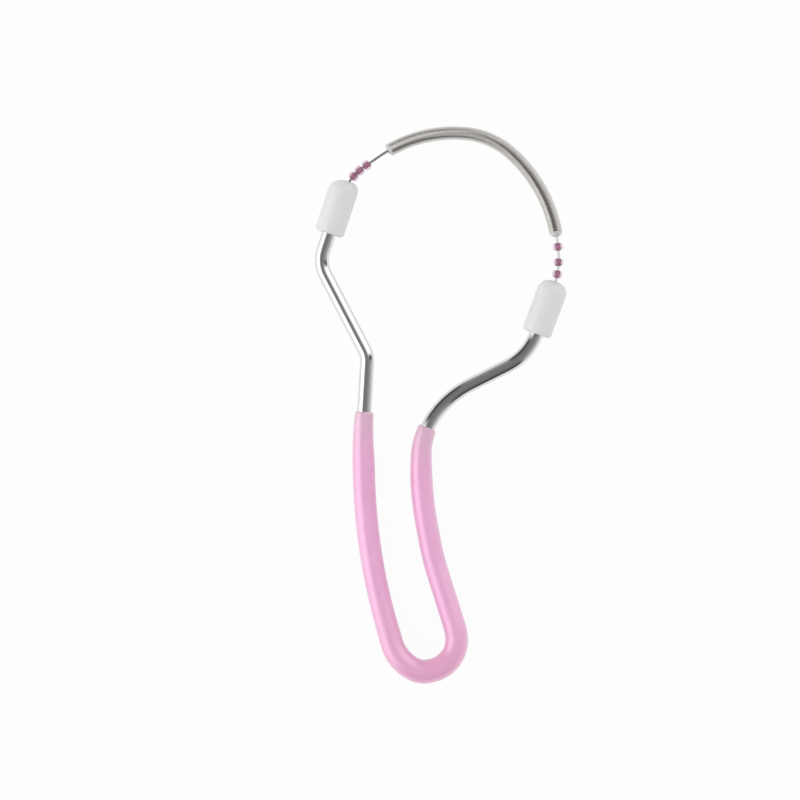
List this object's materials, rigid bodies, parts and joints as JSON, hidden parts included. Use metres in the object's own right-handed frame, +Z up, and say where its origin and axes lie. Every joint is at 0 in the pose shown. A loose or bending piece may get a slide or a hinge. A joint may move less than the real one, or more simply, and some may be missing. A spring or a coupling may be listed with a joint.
{
  "type": "facial hair removal spring",
  "caption": "Flat wire ring with a dipped finger handle, two end caps, loose beads and a close-wound coil spring that catches fine hair.",
  "frame": {"origin": "middle of the tool's outline in plan, on the surface that it lies on", "axes": "+Y from the dipped tip towards the coil spring, +X to the right seen from above, +Z up out of the flat tool"},
  "size_m": [0.027, 0.06, 0.0032],
  "materials": {
    "polished_steel": "polished",
    "pink_vinyl": "glossy dip coating",
    "white_plastic": "satin",
    "spring_steel": "bright drawn wire",
    "plum_bead": "tinted, glossy"
  },
  "bodies": {
    "root": {"handle_wire": "polished_steel", "grip_coating": "pink_vinyl", "left_cap": "white_plastic", "right_cap": "white_plastic", "core_wire": "spring_steel", "coil_spring": "spring_steel", "left_bead_1": "plum_bead", "left_bead_2": "plum_bead", "left_bead_3": "plum_bead", "right_bead_1": "plum_bead", "right_bead_2": "plum_bead", "right_bead_3": "plum_bead"}
  },
  "joints": []
}
